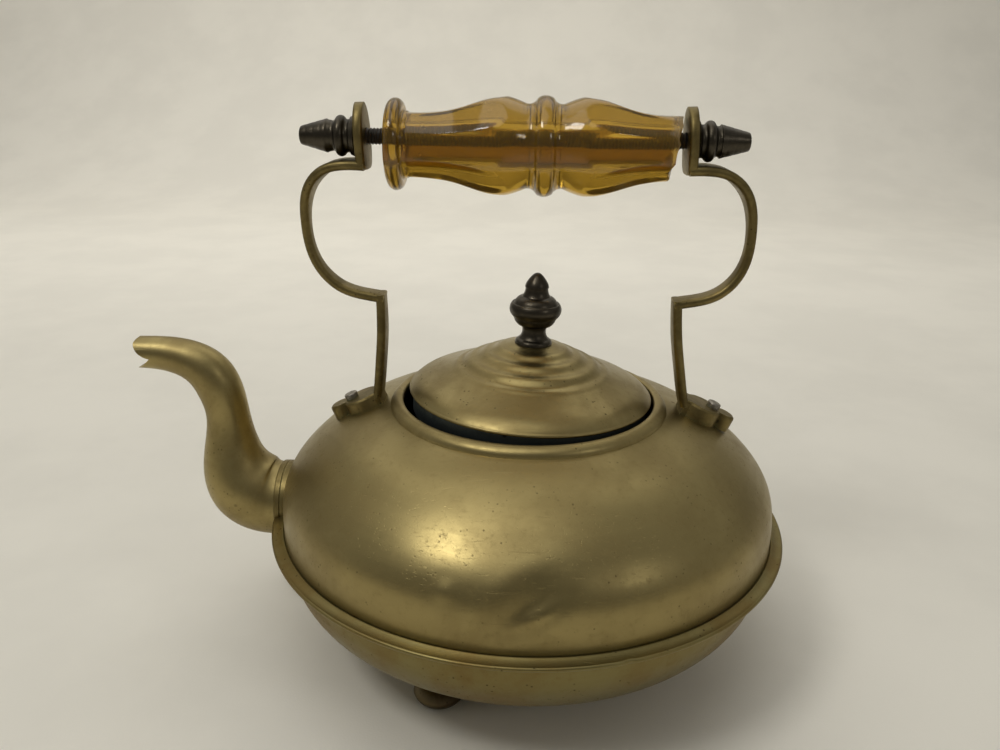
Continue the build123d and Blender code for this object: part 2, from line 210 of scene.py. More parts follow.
def spun(profile, origin=(0, 0, 0), axis=(0, 0, 1), start=(1, 0, 0), turns=160):
    """A closed outline of (radius, along) points turned about an axis: points and faces."""
    axis, start = unit(axis), unit(start)
    across = np.cross(axis, start)
    angles = circle(turns)
    around = np.outer(np.cos(angles), start) + np.outer(np.sin(angles), across)
    points, rings = [], []
    for radius, along in profile:
        ring = np.zeros((1, 3)) if radius < ON_AXIS else around * radius
        rings.append((len(points), len(ring)))
        points.extend(np.asarray(origin) + axis * along + ring)
    faces = []
    open_ended = profile[0][0] < ON_AXIS and profile[-1][0] < ON_AXIS
    pairs = zip(rings, rings[1:] + ([] if open_ended else rings[:1]))
    for (low, low_count), (high, high_count) in pairs:
        for i in range(turns):
            j = (i + 1) % turns
            corners = list(dict.fromkeys([low + i % low_count, low + j % low_count,
                                          high + j % high_count, high + i % high_count]))
            if len(corners) > 2:
                faces.append(corners)
    return np.array(points), faces


def cylinder(radius, low, high, frame, turns):
    """A plain round bar, which cuts a hole or a seat."""
    return spun([(0, low), (radius, low), (radius, high), (0, high)], *frame, turns)


def swept(sections, capped=True):
    """Rings of the same number of points joined in order: points and faces."""
    turns = len(sections[0])
    last = (len(sections) - 1) * turns
    faces = []
    for row in range(0, last, turns):
        for i in range(turns):
            j = (i + 1) % turns
            faces.append([row + i, row + j, row + turns + j, row + turns + i])
    if capped:
        faces.append(list(range(turns))[::-1])
        faces.append([last + i for i in range(turns)])
    return np.vstack(sections), faces


def tube(outer, inner):
    """Two nested sleeves of rings joined at both ends into one closed wall."""
    return swept(list(outer) + list(inner)[::-1] + [outer[0]], capped=False)


def mesh_of(name, points, faces):
    """A mesh in the row frame, in metres, from points given from the axis and the seam."""
    shape = bmesh.new()
    corners = [shape.verts.new(point) for point in points]
    for face in faces:
        shape.faces.new([corners[i] for i in face])
    bmesh.ops.remove_doubles(shape, verts=shape.verts, dist=TOUCHING)
    bmesh.ops.dissolve_degenerate(shape, edges=shape.edges, dist=TOUCHING / 10)
    bmesh.ops.recalc_face_normals(shape, faces=shape.faces)
    bmesh.ops.translate(shape, verts=shape.verts, vec=(AXIS_X, 0, SEAM_Z))
    bmesh.ops.scale(shape, verts=shape.verts, vec=(MM, MM, MM))
    mesh = bpy.data.meshes.new(name)
    shape.to_mesh(mesh)
    shape.free()
    return mesh


def combined(thing, operation, shapes):
    """Joins shapes to an object, or cuts them out of it."""
    for points, faces in shapes:
        tool = bpy.data.objects.new("tool", mesh_of("tool", points, faces))
        bpy.context.scene.collection.objects.link(tool)
        step = thing.modifiers.new("step", "BOOLEAN")
        step.operation, step.solver, step.object = operation, "EXACT", tool
        bpy.context.view_layer.update()
        solid = bpy.data.meshes.new_from_object(thing.evaluated_get(bpy.context.evaluated_depsgraph_get()))
        thing.modifiers.clear()
        thing.data = solid
        bpy.data.objects.remove(tool)


def piece(name, points, faces, cutters=(), joined=()):
    """A new object, with other shapes joined to it and then the cutters taken out of it."""
    thing = bpy.data.objects.new(name, mesh_of(name, points, faces))
    bpy.context.scene.collection.objects.link(thing)
    combined(thing, "UNION", joined)
    combined(thing, "DIFFERENCE", cutters)
    thing.data.name = name
    return thing


def coated(thing, label):
    """Shades a piece smooth, in the finish of that name."""
    thing.data.materials.clear()
    thing.data.materials.append(finish(label))
    thing.data.polygons.foreach_set("use_smooth", [True] * len(thing.data.polygons))


def finish_piece(thing, label, body, node, crease):
    """Gives a piece its finish and its sharp edges, and puts it in its CAD node's place."""
    coated(thing, label)
    thing.data.polygons.foreach_set("material_index", [0] * len(thing.data.polygons))
    thing.data.set_sharp_from_angle(angle=math.radians(crease))
    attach(thing, body)
    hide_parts(node)


# ---- forms that several pieces share

# Radius and height of the points that the body's outer skin goes through
DOME = [(85.6, 0), (84.3, 14.9), (76.2, 25.8), (62.6, 35.4), (44.3, 42.1)]
PAN = [(84.3, 0), (84.5, -9.9), (81.0, -19.0), (71.9, -27.9), (58.9, -36.2), (46.5, -42.0)]
BASE = (39.0, -45.5)
BORE_WALL = 1.3
SPOUT_UP = 0.5
ROUND_SPOUT = ((0, 0, SPOUT_UP), (-1, 0, 0), (0, 1, 0))


def dome_skin():
    return skin(DOME, (0, 1), (-1, 0.33), 16)


def pan_skin():
    return outline(skin(PAN, (0, -1), (-1, -0.44), 12), skin([PAN[-1], BASE], (-1, -0.44), (-1, 0), 8))


def body_form():
    """The closed outer form of the body, which cuts whatever is seated on it."""
    profile = outline((0, BASE[1]), pan_skin()[::-1], dome_skin(), (0, DOME[-1][1]))
    return spun(profile, turns=240)


def spout_rings(thinner=0.0, turns=72):
    """Rings along the spout's outer skin, or its bore."""
    # Distance out, height, radius, and how many degrees the spout has turned upwards
    stations = [(76, SPOUT_UP, 13.3, 0), (90, SPOUT_UP, 13.3, 0), (97.2, 2.3, 13.9, 24),
                (103.2, 7.4, 13.5, 52), (106.2, 17, 10.8, 80), (106.7, 33, 7.5, 90), (108, 40.6, 7.6, 78),
                (111.6, 48.5, 7.6, 50), (118.9, 53.6, 6.7, 20), (128, 55.5, 5.9, 4), (141, 55.7, 5.5, 0)]
    slack = 0.25  # a degree of turn counts as this many millimetres
    run = curve_through([(out, up, radius, turn * slack) for out, up, radius, turn in stations],
                        (1, 0, 0, 0), (1, 0, 0, 0), 9)
    around = circle(turns)
    rings = []
    for out, up, radius, turn in run:
        bend = math.radians(turn / slack)
        across = np.array([math.sin(bend), 0, math.cos(bend)])
        ring = np.outer(np.cos(around), across) + np.outer(np.sin(around), (0, 1, 0))
        rings.append(np.array([-out, 0, up]) + ring * (radius - thinner))
    return rings


def prism(points, half_width):
    """An outline in the plane of the spout and the handle, drawn out to both sides."""
    return swept([np.insert(points, 1, side, axis=1) for side in (-half_width, half_width)])


def oval(centre, across, along, first, last, steps=16):
    """Part of an ellipse, from one angle to another in degrees."""
    turn = np.radians(np.linspace(first, last, steps + 1))
    return np.column_stack([centre[0] + across * np.cos(turn), centre[1] + along * np.sin(turn)])


BODY_MIDDLE = (0, 0, 5)


def pressed(points, faces, centre, size, slant, depth):
    """Points near a place pushed in, or out, as a knock of that length and width leaves them."""
    towards = np.subtract(BODY_MIDDLE, centre)
    level = unit(np.cross(towards, (0, 0, 1)))
    rise = unit(np.cross(level, towards))
    turn = math.radians(slant)
    offset = points - centre
    along = offset @ (level * math.cos(turn) + rise * math.sin(turn))
    across = offset @ (rise * math.cos(turn) - level * math.sin(turn))
    inward = offset @ unit(towards)
    away = np.sqrt((along / size[0])**2 + (across / size[1])**2 + (inward / max(size))**2)
    bowl = depth * np.exp(-2.5 * away**2)
    raised_rim = 0.12 * depth * np.exp(-6 * (away - 1.15)**2)
    return points + unit(towards) * (bowl - raised_rim)[:, None], faces


def around_body(azimuth, up, radius):
    """A place on the body by its bearing, with the front at -90 degrees."""
    turn = math.radians(azimuth)
    return np.array([radius * math.cos(turn), radius * math.sin(turn), up])


# ---- body

# Knocks in the dome: bearing, height, distance from the axis, length, width, slant, depth
DOME_KNOCKS = [
    (-89, 15.0, 84.2, 13, 7.5, 38, 1.25),
    (-88, 12.0, 84.9, 9, 2.6, 32, -0.75),
    (-105, 16.8, 83.5, 3.6, 3.0, 80, -0.45),
    (60, 22, 80, 12, 12, 0, 0.5),
    (150, 28, 73, 10, 10, 0, 0.4),
]


def make_upper_shell(settings):
    lining = beside(dome_skin(), -settings.sheet / MM)
    points, faces = spun(outline(dome_skin(), lining[::-1]), turns=300)
    for bearing, up, radius, *size, slant, depth in DOME_KNOCKS:
        points, faces = pressed(points, faces, around_body(bearing, up, radius), size, slant, depth)
    return piece("dome", points, faces, [swept(spout_rings(BORE_WALL))])


def make_lower_pan(settings):
    sheet, rim = settings.sheet / MM, settings.flange_radius / MM
    lip, under = 0.85, -1.7
    crest = arc((rim - 3.4, 0.42), (rim - 4.0, 0.50), (rim - 4.3, 0), 6)
    edge = outline(arc((rim - lip, under), (rim, -0.95), (rim - 0.75, -0.30), 10), (rim - 1.3, -0.42), crest)
    lining = beside(pan_skin(), sheet)
    lining[-1, 0] = BASE[0]
    wall = pan_skin()[::-1]
    profile = outline((0, BASE[1]), wall[wall[:, 1] < under - 0.2], (PAN[0][0], under), edge, lining,
                      (0, BASE[1] + sheet))
    points, faces = spun(profile, turns=300)
    nick, nick_depth = around_body(-71, -0.6, 90.2), 0.55
    points, faces = pressed(points, faces, nick, (2.4, 2.4), 0, nick_depth)
    root, cutters = 84.6, [swept(spout_rings(BORE_WALL))]
    for bite, reach in ((13.8, 89.1), (13.3, 92)):
        cutters.append(cylinder(bite, root, reach, ROUND_SPOUT, 96))
    return piece("pan", points, faces, cutters)


def make_mouth_collar(settings):
    mouth, sheet = settings.mouth_radius / MM, settings.sheet / MM
    seat_up, seat_radius, base = 36.4, 39.0, 40.6
    bead = outline(arc((47.6, base), (46.7, 43.1), (44.2, 44.0), 12),
                   arc((44.2, 44.0), (43.4, 43.8), (mouth, 43.2), 5))
    profile = outline(bead, (mouth, seat_up), (seat_radius, seat_up), (seat_radius, seat_up - sheet),
                      (mouth + sheet, seat_up - sheet), (mouth + sheet, base))
    return piece("mouth_bead", *spun(profile, turns=240), [body_form()])


# ---- spout

def make_spout():
    upper_lip = arc((-134.2, 61.6), (-135.6, 61.0), (-136.1, 59.8))
    cheek = arc((-136.1, 59.8), (-135.0, 57.7), (-130.3, 54.9))
    lower_lip = arc((-130.3, 54.9), (-133.1, 52.3), (-136.5, 50.25), 4)
    cut = outline((-134.2, 66), upper_lip, cheek, lower_lip, (-136.5, 46), (-150, 46), (-150, 66))
    walls = tube(spout_rings(0, 96), spout_rings(BORE_WALL, 96))
    return piece("spout_neck", *walls, [body_form(), prism(cut, 20)])


def make_spout_collar():
    ring = outline((13.0, 79), (13.8, 79), arc((13.8, 86.6), (13.5, 86.9), (13.8, 87.2), 6),
                   arc((13.8, 88.5), (13.7, 88.9), (13.4, 89.1), 5), (13.0, 89.1))
    return piece("spout_ring", *spun(ring, *ROUND_SPOUT, 144), [body_form()])


# ---- handle

# Places are measured from the body's axis and the seam, before the handle's lean is added
EYE_INNER = 50.2
LEAN, LEAN_FROM = 0.04, 58
LUG_ROOT = {-1: 53.0, 1: 54.2}
LUG_UP, LUG_SLOPE = 44.4, math.radians(22.7)
RIVET_OUT = 10.0
NUT_GRIP = 9.0


def settled(x, up):
    """Place across the handle, whose frame leans a little towards the spout."""
    return x - LEAN * (up - LEAN_FROM)


def strap_lines(hand, strap):
    """Middle lines of a bracket's three bars: the eye plate, the bow and the shank down to the lug."""
    x, half = EYE_INNER + strap / 2, strap / 2
    eye_top, knee_up, corner = 139.9, 121.0, (49.4, 77.5)
    plate = np.linspace((x, eye_top), (x, knee_up - half), 44)
    bow = skin([(x - 0.9, knee_up - 0.1), (57.0, knee_up), (63.4, 119.7), (69.6, 114.0), (72.3, 102.0),
                (69.4, 88.0), (61.6, 80.4), (corner[0] - half + 0.3, corner[1] - 0.3)],
               (1, 0.06), (-1, -0.22))
    shank = skin([(corner[0], corner[1] + half - 0.2), (49.5, 72.0), (49.8, 66.0), (51.2, 54.0),
                  (53.0, 42.0)], (0, -1), (0.2, -1), 8)
    return [np.column_stack([settled(hand * line[:, 0], line[:, 1]), line[:, 1]])
            for line in (plate, bow, shank)]


def strap_half_width(up):
    """Half the strap's width at a height: an oval eye, a slim bow and a broader foot."""
    eye_up, half_high, half_wide, least = 129.6, 10.4, 8.2, 0.8
    if up > eye_up:
        return max(half_wide * math.sqrt(max(1 - ((up - eye_up) / half_high)**2, 0)), least)
    lower = curve_through([(38, 4.8), (62, 4.8), (90, 2.9), (104, 3.0), (118.5, 6.6),
                           (eye_up, half_wide)], (1, 0), (1, 0), 12)
    return float(np.interp(up, lower[:, 0], lower[:, 1]))


def rounded_section(half_width, half_thick, round_off):
    """Corners of a flat bar's section, rounded: across and through."""
    round_off = min(round_off, half_width * 0.9)
    rounds = []
    for right, top, first in ((1, 1, 0), (-1, 1, 90), (-1, -1, 180), (1, -1, 270)):
        centre = (right * (half_width - round_off), top * (half_thick - round_off))
        rounds.append(oval(centre, round_off, round_off, first, first + 90, 4))
    return np.vstack(rounds)


def make_strap(hand, strap):
    """The three bars of a bracket. The eye plate narrows to a round heel where it meets the bow."""
    bars = []
    for line, round_off, heel in zip(strap_lines(hand, strap), (1.2, 1.4, 1.4), (3.0, 0, 0)):
        flow, lowest = np.gradient(line, axis=0), line[:, 1].min()
        sections = []
        for (x, up), (run, rise) in zip(line, flow):
            through = unit((-rise, run))
            short = max(lowest + heel - up, 0)
            half_width = strap_half_width(up) - heel + math.sqrt(heel**2 - short**2)
            section = rounded_section(half_width, strap / 2, round_off)
            sections.append(np.column_stack([x + section[:, 1] * through[0], section[:, 0],
                                             up + section[:, 1] * through[1]]))
        bars.append(swept(sections))
    return bars


def lug_frame(hand):
    """Origin, outward direction and upward direction of a lug on the shoulder of the body."""
    level, drop = hand * math.cos(LUG_SLOPE), math.sin(LUG_SLOPE)
    origin = np.array([settled(hand * LUG_ROOT[hand], LUG_UP), 0, LUG_UP])
    return origin, np.array([level, 0, -drop]), np.array([hand * drop, 0, math.cos(LUG_SLOPE)])


def rivet_frame(hand):
    origin, out, up = lug_frame(hand)
    return origin + out * RIVET_OUT, up, (0, 1, 0)


def make_lug(hand):
    """A trefoil plate with bevelled edges: a square heel, an oval and a small round tip."""
    half = outline((-0.5, 0), (-0.5, 4.6), (1.4, 4.6), oval((6.6, 0), 6.8, 6.9, 136, 23)[1:],
                   oval((15.2, 0), 3.4, 3.4, 132, 0, 12)[1:])
    loop = np.vstack([half, (half * (1, -1))[::-1][1:-1]])
    middle = (7.5, 0)
    origin, out, up = lug_frame(hand)

    def ring(inset, height):
        outward = loop - middle
        flat = loop - outward / np.linalg.norm(outward, axis=1)[:, None] * inset
        return origin + np.outer(flat[:, 0], out) + np.outer(flat[:, 1], (0, 1, 0)) + up * height

    return swept([ring(0.75, 0), ring(0.12, -0.5), ring(0, -0.9), ring(0, -5.6)])


def make_bracket(hand, name, settings):
    rod_bore, rivet_bore = 2.72, 1.5
    rod_hole = cylinder(rod_bore, -90, 90, rod_frame(), 48)
    rivet_hole = cylinder(rivet_bore, -9, 3, rivet_frame(hand), 32)
    plate, bow, shank = make_strap(hand, settings.strap / MM)
    return piece(name, *plate, [body_form(), rod_hole, rivet_hole], [bow, shank, make_lug(hand)])


def make_rivet(hand, name):
    profile = outline((0, -7.2), (2.3, -7.2), (2.6, -5.6), (1.5, -5.6), (1.5, 0), (2.25, 0), (2.35, 1.4),
                      arc((2.35, 1.4), (2.2, 1.85), (1.8, 2.05), 4), (0, 2.1))
    return piece(name, *spun(profile, *rivet_frame(hand), 48))


def eye_outer(hand, settings):
    return settled(hand * (EYE_INNER + settings.strap / MM), ROD_UP)


def rod_frame(start=0, hand=1):
    """Origin, axis and sideways direction of what is turned about the rod, from a place along it."""
    return (start, 0, ROD_UP), (hand, 0, 0), (0, 1, 0)


def around_rod(along, radii, angles, up):
    """A ring about a line that runs along the handle at a height."""
    return np.column_stack([np.broadcast_to(along, angles.shape), radii * np.cos(angles),
                            up + radii * np.sin(angles)])


def make_rod(settings):
    """The rod with its helical thread, by moving each point in or out with its place along the pitch."""
    radius, pitch, depth, turns = settings.rod_radius / MM, 1.06, 0.42, 32
    end_radius, chamfer = 2.0, 0.6
    first, last = eye_outer(-1, settings) - NUT_GRIP, eye_outer(1, settings) + NUT_GRIP
    angles = circle(turns)
    stations = [(first, end_radius)]
    for x in np.arange(first + chamfer, last - chamfer, pitch / 8):
        phase = (x / pitch + angles / (2 * math.pi)) % 1
        stations.append((x, radius - depth * np.abs(2 * phase - 1)))
    stations.append((last, end_radius))
    return piece("grip_screw", *swept([around_rod(x, radii, angles, ROD_UP) for x, radii in stations]))


def make_nut(hand, name, settings):
    """A turned nut: a foot ring, a bead, a neck and a blunt cone. The left one stands further out."""
    seat, neck, tip = {-1: (0.0, 1.3, 18.3), 1: (-1.0, 0.3, 16.9)}[hand]
    bead = [(5.9, 1.8), (5.1, 2.6), (5.4, 3.6), (6.35, 5.1), (5.3, 6.6), (4.7, 7.3), (4.8, 8.2)]
    foot, dip, swell, crown, waist, hollow, rise = [(radius, along + seat) for radius, along in bead]
    shoulder = (5.2, rise[1] + neck)
    beads = outline(arc(foot, dip, swell, 8), arc(swell, crown, waist, 12), arc(waist, hollow, rise, 8),
                    arc(rise, (4.95, rise[1] + neck * 0.6), shoulder, 4))
    cone = turned_lines((5.15, shoulder[1] + 0.3), (3.1, tip - 1.3), 3, 0.05)
    point = skin([(2.9, tip - 0.7), (1.8, tip - 0.1), (0, tip)], (-0.3, 1), (-1, 0), 6)
    profile = outline((1.9, 0), (6.1, 0), (6.4, 0.5), foot, beads, cone, point, (0, NUT_GRIP + 0.1),
                      (1.9, NUT_GRIP))
    return piece(name, *spun(profile, *rod_frame(eye_outer(hand, settings), hand), 96))


def turned_lines(first, last, count, depth):
    """A straight flank with a few shallow grooves cut round it."""
    first, last = np.asarray(first, float), np.asarray(last, float)
    into = unit((-(last - first)[1], (last - first)[0]))
    t = np.linspace(0, 1, count * 10 + 1)
    groove = depth * np.clip(np.cos(2 * math.pi * (t * count + 0.5)), 0, 1)**2
    return first + np.outer(t, last - first) + np.outer(groove, into)


# ---- glass grip

GLASS_CENTRE = 3.3
GLASS_LEFT, GLASS_END = -49.5, 42.5


def glass_turned():
    """The glass as turned, before its panels: along the axis and out from it."""
    disc = arc((GLASS_LEFT, 12.2), (-47.3, 14.2), (-44.6, 11.0), 24)
    left_bulb = skin([(-44.6, 11.0), (-42.6, 10.3), (-36.0, 10.8), (-29.0, 12.0), (-22.0, 14.0),
                      (-13.5, 15.3), (-5.8, 13.0)], (0.3, -1), (1, -0.4), 14)
    right_bulb = skin([(5.8, 13.0), (13.5, 15.3), (22.0, 14.0), (29.0, 12.0), (36.0, 10.5),
                       (GLASS_END, 10.0)], (1, 0.4), (1, -0.05), 14)
    ring = outline(arc((-5.8, 13.0), (-3.4, 13.6), (-2.6, 14.6)),
                   arc((-2.6, 14.6), (0, 15.5), (2.6, 14.6), 12),
                   arc((2.6, 14.6), (3.4, 13.6), (5.8, 13.0)))
    return outline((GLASS_LEFT, 11.2), disc, left_bulb, ring, right_bulb)


def panel_reach():
    """How far each flat panel lies from the axis, along the right half of the glass."""
    return skin([(6.0, 20.0), (7.5, 17.5), (11.0, 15.4), (17.0, 14.4), (23.0, 12.7), (29.0, 10.9),
                 (35.0, 10.0), (50.0, 9.9)], (0.4, -1), (1, 0), 12)


def make_glass():
    turns, rows, panels = 256, 420, 8
    turned, panel = glass_turned(), panel_reach()
    angles = circle(turns)
    off_panel = (angles + math.pi / panels) % (2 * math.pi / panels) - math.pi / panels
    # Chips in the broken rim: bearing, depth and half their spread in degrees
    chips = [(-100, 0.7, 28), (-52, 1.1, 24), (-14, 0.6, 20), (22, 0.9, 24), (68, 0.3, 18), (118, 0.5, 20),
             (150, 1.2, 20), (186, 0.6, 22), (222, 1.3, 22)]
    lean_of_break, squeezed_from, disc_end, no_panel = 1.7, 20, -43, 30

    def broken_end(radius):
        """How far along the broken end lies: a slanting break, with shallow chips round its rim."""
        slant = lean_of_break * (1 - radius * np.sin(angles) / 10)
        bite = np.zeros_like(angles)
        for bearing, depth, spread in chips:
            away = (np.degrees(angles) - bearing + 180) % 360 - 180
            bite = np.maximum(bite, depth * (1 - (away / spread)**2))
        return GLASS_END - slant - bite * np.clip((radius - 5) / 5, 0, 1)

    run = run_of(turned)
    sections = []
    for place in np.linspace(0, run[-1], rows):
        along, turned_radius = np.interp(place, run, turned[:, 0]), np.interp(place, run, turned[:, 1])
        if along > squeezed_from:
            squeeze = (along - squeezed_from) / (GLASS_END - squeezed_from)
            along = squeezed_from + squeeze * (broken_end(10) - squeezed_from)
            turned_radius = np.interp(along, turned[:, 0], turned[:, 1])
        flat = np.interp(np.abs(along), panel[:, 0], panel[:, 1], left=no_panel) / np.cos(off_panel)
        flat = np.where(along < disc_end, no_panel, flat)
        blend = 0.10
        sections.append((along, -blend * np.logaddexp(-turned_radius / blend, -flat / blend)))
    bore = 5.15
    sections += [(broken_end(radius), radius) for radius in (9.0, 7.8, 6.6, 5.6, bore)]
    sections += [(along, bore) for along in np.linspace(30, GLASS_LEFT, 30)]
    sections += [(GLASS_LEFT, radius) for radius in (6.5, 8.5)]
    sections.append(sections[0])
    rings = [around_rod(GLASS_CENTRE + along, radius, angles, GLASS_UP) for along, radius in sections]
    return piece("glass", *swept(rings, capped=False))


# ---- lid and feet

LID_UP, LID_SHIFT = 45.3, 0.6
CROWN, LID_BORE = 17.2, 1.5
FOOT_CIRCLE = 54


def lid_frame(settings, up=0.0):
    """A place on the lid's axis, that axis and its sideways direction. The lid sits out of level."""
    lean, level = math.sin(settings.lid_tilt), math.cos(settings.lid_tilt)
    axis = np.array([lean, 0, level])
    return np.array([LID_SHIFT, 0, LID_UP]) + axis * up, axis, (level, 0, -lean)


def make_lid_cover(settings):
    rim, sheet = settings.lid_radius / MM, settings.sheet / MM
    dome = skin([(6.6, CROWN), (13.5, 14.85), (19.8, 11.95), (25.8, 8.85), (33.0, 5.7), (rim - 0.5, 1.1)],
                (1, -0.12), (0.75, -1), 24)
    wave, depth, inmost, outmost, node = 5.1, 0.24, 7.0, 27.5, 17.5
    radii = dome[:, 0]
    swell = np.clip((radii - inmost) / 5, 0, 1) * np.clip((outmost - radii) / 3, 0, 1)
    dome[:, 1] -= depth * swell * np.sin(2 * math.pi * (radii - node) / wave)
    edge = arc((rim - 0.5, 1.1), (rim, 0.55), (rim - 0.3, 0), 6)
    inside = skin([(38.6, 0), (32.0, 4.6), (25.6, 7.6), (19.7, 10.4), (13.5, 13.3), (6.0, CROWN - sheet)],
                  (-0.75, 1), (-1, 0.05), 8)
    profile = outline((LID_BORE, CROWN), dome, edge, inside, (LID_BORE, CROWN - sheet))
    return piece("lid_top", *spun(profile, *lid_frame(settings), 240))


def make_lid_bezel(settings):
    ring = outline((40.3, 0), (40.3, -6.5), arc((40.3, -6.5), (39.8, -6.9), (39.3, -6.5), 6), (39.3, 0))
    return piece("lid_flange", *spun(ring, *lid_frame(settings), 180))


def make_lid_finial(settings):
    foot = outline((0, -5.2), (LID_BORE, -5.2), (LID_BORE, 0), (6.2, 0),
                   arc((6.3, 0.1), (6.1, 1.0), (5.2, 1.7), 8))
    stem = outline(arc((5.2, 1.7), (4.05, 3.9), (4.3, 6.0), 14), arc((4.3, 6.0), (6.0, 6.9), (7.2, 9.1), 10),
                   (7.45, 9.2))
    knob = outline(arc((7.5, 9.4), (8.75, 12.1), (8.0, 14.0), 16),
                   arc((7.9, 14.05), (7.5, 13.9), (7.3, 14.1), 4),
                   arc((7.3, 14.1), (6.4, 15.5), (4.7, 16.4), 10),
                   arc((4.7, 16.4), (4.0, 17.8), (3.8, 19.2), 10))
    tip = outline((3.95, 19.4), skin([(4.0, 19.6), (2.6, 22.4), (0, 24.3)], (-0.15, 1), (-1, 0), 12))
    return piece("lid_knob", *spun(outline(foot, stem, knob, tip), *lid_frame(settings, CROWN), 128))


def make_lid_nut(settings):
    profile = outline((LID_BORE, 0), (3.6, 0), (3.8, -0.3), (3.8, -2.6), (3.5, -3.0), (1.7, -3.0),
                      (LID_BORE, -2.8))
    return piece("lid_hex_nut", *spun(profile, *lid_frame(settings, CROWN - settings.sheet / MM), 6))


def make_foot(bearing, name):
    place = around_body(bearing, -SEAM_Z, FOOT_CIRCLE)
    profile = outline((0, 0), (3.8, 0), arc((4.0, 0.05), (7.2, 1.1), (8.6, 3.5), 12),
                      arc((8.6, 3.5), (7.7, 5.5), (5.4, 6.9), 12), (5.4, 18), (0, 18))
    return piece(name, *spun(profile, place, turns=96), [body_form()])


# ---- shader nodes

class Wiring:
    """Adds nodes to a tree, each wired up as it is made."""

    def __init__(self, tree):
        self.tree = tree

    def put(self, kind, inputs=None, **settings):
        """A new node, its settings, and its inputs as plain values or links."""
        made = self.tree.nodes.new(kind)
        for name, value in settings.items():
            setattr(made, name, value)
        for name, value in (inputs or {}).items():
            if isinstance(value, bpy.types.NodeSocket):
                self.tree.links.new(value, made.inputs[name])
            else:
                made.inputs[name].default_value = value
        return made

    def feed(self, sockets, values):
        for name, value in values.items():
            self.tree.links.new(value, sockets[name])

    def place(self, kind="Object"):
        return self.put("ShaderNodeTexCoord").outputs[kind]

    def part(self, vector, letter):
        return self.put("ShaderNodeSeparateXYZ", {"Vector": vector}).outputs[letter]

    def maths(self, operation, first, second, clamp=False):
        made = self.put("ShaderNodeMath", {0: first, 1: second}, operation=operation, use_clamp=clamp)
        return made.outputs[0]

    def times(self, first, second, clamp=False):
        return self.maths("MULTIPLY", first, second, clamp)

    def plus(self, first, second, clamp=False):
        return self.maths("ADD", first, second, clamp)

    def minus(self, first, second, clamp=False):
        return self.maths("SUBTRACT", first, second, clamp)

    def most(self, first, second):
        return self.maths("MAXIMUM", first, second)

    def vectors(self, operation, *vectors, output="Vector"):
        made = self.put("ShaderNodeVectorMath", dict(enumerate(vectors)), operation=operation)
        return made.outputs[output]

    def spread(self, value, low, high, to_low=0.0, to_high=1.0):
        """Stretches a range of values to another, with soft ends."""
        ends = {"Value": value, "From Min": low, "From Max": high, "To Min": to_low, "To Max": to_high}
        return self.put("ShaderNodeMapRange", ends, interpolation_type="SMOOTHSTEP").outputs["Result"]

    def mixed(self, factor, first, second):
        return self.put("ShaderNodeMix", {0: factor, 6: first, 7: second}, data_type="RGBA").outputs[2]

    def noise(self, place, scale, detail=4.0, roughness=0.5, distortion=0.0):
        grain = {"Vector": place, "Scale": scale, "Detail": detail, "Roughness": roughness,
                 "Distortion": distortion}
        return self.put("ShaderNodeTexNoise", grain).outputs["Fac"]

    def patches(self, low, high, *grain):
        """Soft-edged patches of a noise."""
        return self.spread(self.noise(*grain), low, high)

    def dots(self, place, scale, core, rim):
        """Round dots scattered over the surface, solid at the core and gone at the rim."""
        cells = self.put("ShaderNodeTexVoronoi", {"Vector": place, "Scale": scale}).outputs["Distance"]
        return self.spread(cells, core, rim, 1, 0)

    def hairlines(self, place, scale, rotation, low, high):
        """Scratches that run one way."""
        mapping = {"Vector": place, "Scale": scale, "Rotation": rotation}
        return self.patches(low, high, self.put("ShaderNodeMapping", mapping).outputs[0], 1, 2)

    def relief(self, height, strength, distance):
        bump = {"Height": height, "Strength": strength, "Distance": distance}
        return self.put("ShaderNodeBump", bump).outputs["Normal"]


def new_group(name, inputs, outputs):
    """A shader node group with named sockets: its wiring, its inputs and its outputs."""
    group = bpy.data.node_groups.new(name, "ShaderNodeTree")
    for label, default in inputs.items():
        kind = {4: "Color", 3: "Vector"}.get(np.size(default), "Float")
        socket = group.interface.new_socket(label, in_out="INPUT", socket_type=f"NodeSocket{kind}")
        socket.default_value = default
    for label, kind in outputs.items():
        group.interface.new_socket(label, in_out="OUTPUT", socket_type=f"NodeSocket{kind}")
    given = group.nodes.new("NodeGroupInput").outputs
    return Wiring(group), given, group.nodes.new("NodeGroupOutput").inputs


